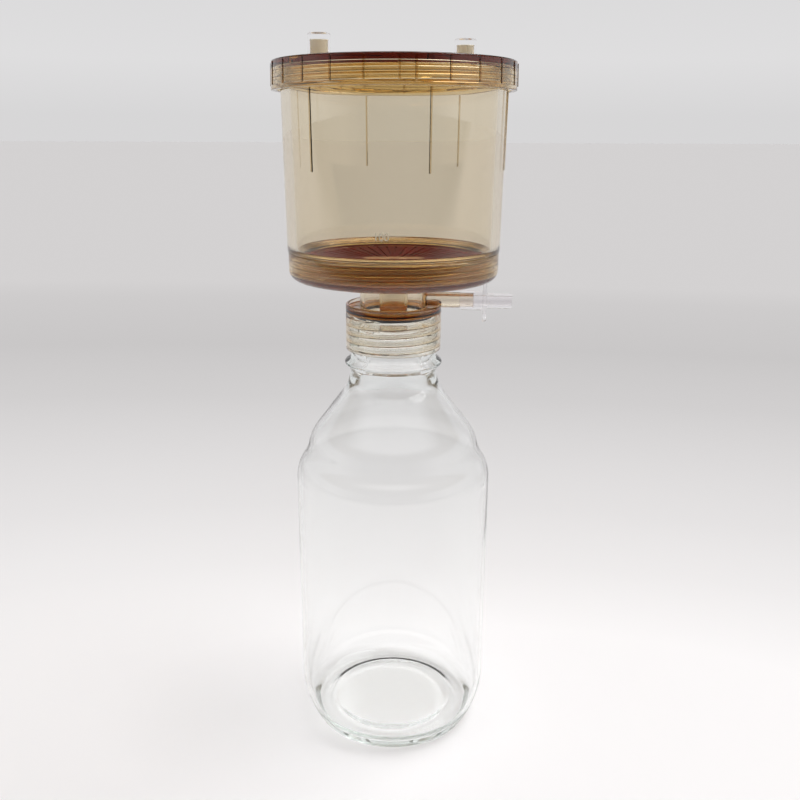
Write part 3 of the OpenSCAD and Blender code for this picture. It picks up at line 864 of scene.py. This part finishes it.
def floor():
    """A wide pale floor just under the foot, painted white near the unit and greyer far off as a painted
    pool of light.
    """
    mesh = bpy.data.meshes.new("floor")
    reach, drop = 40.0, -0.00005       # in metres, as are the next three
    ramp_end = 1.5
    front_dim, front_pale = -1.4, -0.5
    mesh.from_pydata([(-reach, -reach, drop), (reach, -reach, drop), (reach, reach, drop),
                      (-reach, reach, drop)], [], [(0, 1, 2, 3)])
    obj = bpy.data.objects.new("floor", mesh)
    bpy.context.scene.collection.objects.link(obj)
    mat, shader = new_material("floor_white")
    where = node(mat, "ShaderNodeTexCoord")
    shape = node(mat, "ShaderNodeMapping", Location=(-0.03, 0.02, 0), Scale=(0.45, 1, 1))
    link(mat, where.outputs["Object"], shape.inputs["Vector"])
    length = node(mat, "ShaderNodeVectorMath")
    length.operation = "LENGTH"
    link(mat, shape.outputs["Vector"], length.inputs[0])
    # painted pool of light: the floor's colour falls from white round the unit to grey far off
    ramp = node(mat, "ShaderNodeValToRGB")
    shades(ramp, [(0.0, 0.92), (0.07, 0.91), (0.13, 0.80), (0.2, 0.72), (0.3, 0.655), (0.42, 0.585),
                  (0.6, 0.535), (0.87, 0.565), (1.0, 0.6)])
    link(mat, remap(mat, length.outputs["Value"], 0, 1, 0.0, ramp_end), ramp.inputs["Fac"])
    split = node(mat, "ShaderNodeSeparateXYZ")
    link(mat, where.outputs["Object"], split.inputs["Vector"])
    scaled = node(mat, "ShaderNodeVectorMath")
    scaled.operation = "SCALE"
    link(mat, ramp.outputs["Color"], scaled.inputs[0])
    front = remap(mat, split.outputs["Y"], FRONT, 1.0, front_dim, front_pale)
    link(mat, off_stage(mat, front), scaled.inputs["Scale"])
    link(mat, scaled.outputs["Vector"], shader.inputs["Base Color"])
    shader.inputs["Roughness"].default_value = 1.0
    shader.inputs["Specular IOR Level"].default_value = 0.0
    mesh.materials.append(mat)


def world():
    """Pale at the horizon, dim above it, bright overhead, and dim at the photographer's side."""
    front_dim, front_pale = -0.85, -0.35           # parts of a direction along Y
    front_ends, all_bright = 0.5, 0.7              # and along Z, above which every side is alike
    made = bpy.data.worlds.new("surroundings")
    bpy.context.scene.world = made
    made.use_nodes = True
    shade = made.node_tree.nodes["Background"]
    where = node(made, "ShaderNodeTexCoord")
    split = node(made, "ShaderNodeSeparateXYZ")
    link(made, where.outputs["Generated"], split.inputs["Vector"])
    ramp = node(made, "ShaderNodeValToRGB")
    shades(ramp, [(0.0, 0.68), (0.02, 0.68), (0.075, 0.735), (0.143, 0.71), (0.3, 0.7), (0.38, 0.15),
                  (0.58, 0.15), (0.72, 1.2), (1.0, 1.2)])
    link(made, split.outputs["Z"], ramp.inputs["Fac"])
    front = remap(made, split.outputs["Y"], FRONT, 1.0, front_dim, front_pale)
    high = remap(made, split.outputs["Z"], 0.0, 1.0, front_ends, all_bright)
    level = node(made, "ShaderNodeMix")
    level.inputs[3].default_value = 1.0
    link(made, high, level.inputs[0])
    link(made, front, level.inputs[2])
    scaled = node(made, "ShaderNodeVectorMath")
    scaled.operation = "SCALE"
    link(made, ramp.outputs["Color"], scaled.inputs[0])
    link(made, off_stage(made, level.outputs[0]), scaled.inputs["Scale"])
    link(made, scaled.outputs["Vector"], shade.inputs["Color"])
    shade.inputs["Strength"].default_value = 1.0


def sun(direction, strength, angle):
    """A soft lamp far away, in that direction."""
    data = bpy.data.lights.new("key", "SUN")
    data.energy = strength
    data.angle = math.radians(angle)
    obj = bpy.data.objects.new("key", data)
    obj.rotation_euler = Vector(direction).to_track_quat("Z", "Y").to_euler()
    bpy.context.scene.collection.objects.link(obj)


def camera():
    """The photograph's viewpoint: level with the cup's upper half, looking down at the bottle."""
    distance, height = 0.43401, 0.31185
    turn, pitch, roll = math.radians(6.0), math.radians(16.86), math.radians(0.17)
    data = bpy.data.cameras.new("camera")
    data.sensor_width = 36
    data.lens = 39.309
    data.shift_x = 0.0085
    data.clip_start, data.clip_end = 0.01, 100
    obj = bpy.data.objects.new("camera", data)
    bpy.context.scene.collection.objects.link(obj)
    look = (Matrix.Rotation(turn, 4, "Z") @ Matrix.Rotation(math.pi / 2 - pitch, 4, "X")
            @ Matrix.Rotation(roll, 4, "Z"))
    spot = Vector((distance * math.sin(turn), -distance * math.cos(turn), height))
    obj.matrix_world = Matrix.Translation(spot) @ look
    bpy.context.scene.camera = obj


def settings():
    scene = bpy.context.scene
    scene.view_settings.view_transform = "Standard"
    scene.cycles.max_bounces = 40
    scene.cycles.transmission_bounces = 40
    scene.cycles.glossy_bounces = 24
    scene.cycles.transparent_max_bounces = 32
    scene.cycles.volume_bounces = 0
    scene.cycles.blur_glossy = 0.0


# ---------------------------------------------------------------- assembly

bottle()
filter_base()
cup()
lid()
port_cap("right", 1)
port_cap("left", -1)
connector()
dress("bottle_seal", rubber_material("navy_rubber", (0.008, 0.011, 0.035), (0.014, 0.018, 0.05)))
red = rubber_material("seal_red_rubber", (0.14, 0.012, 0.01), (0.2, 0.022, 0.016))
dress("chamber_seal", red)
dress("lid_seal", red)
dress("support_plate", plate_material())

floor()
world()
sun(direction=(0.55, 0.15, 1.0), strength=1.05, angle=40)
camera()
settings()
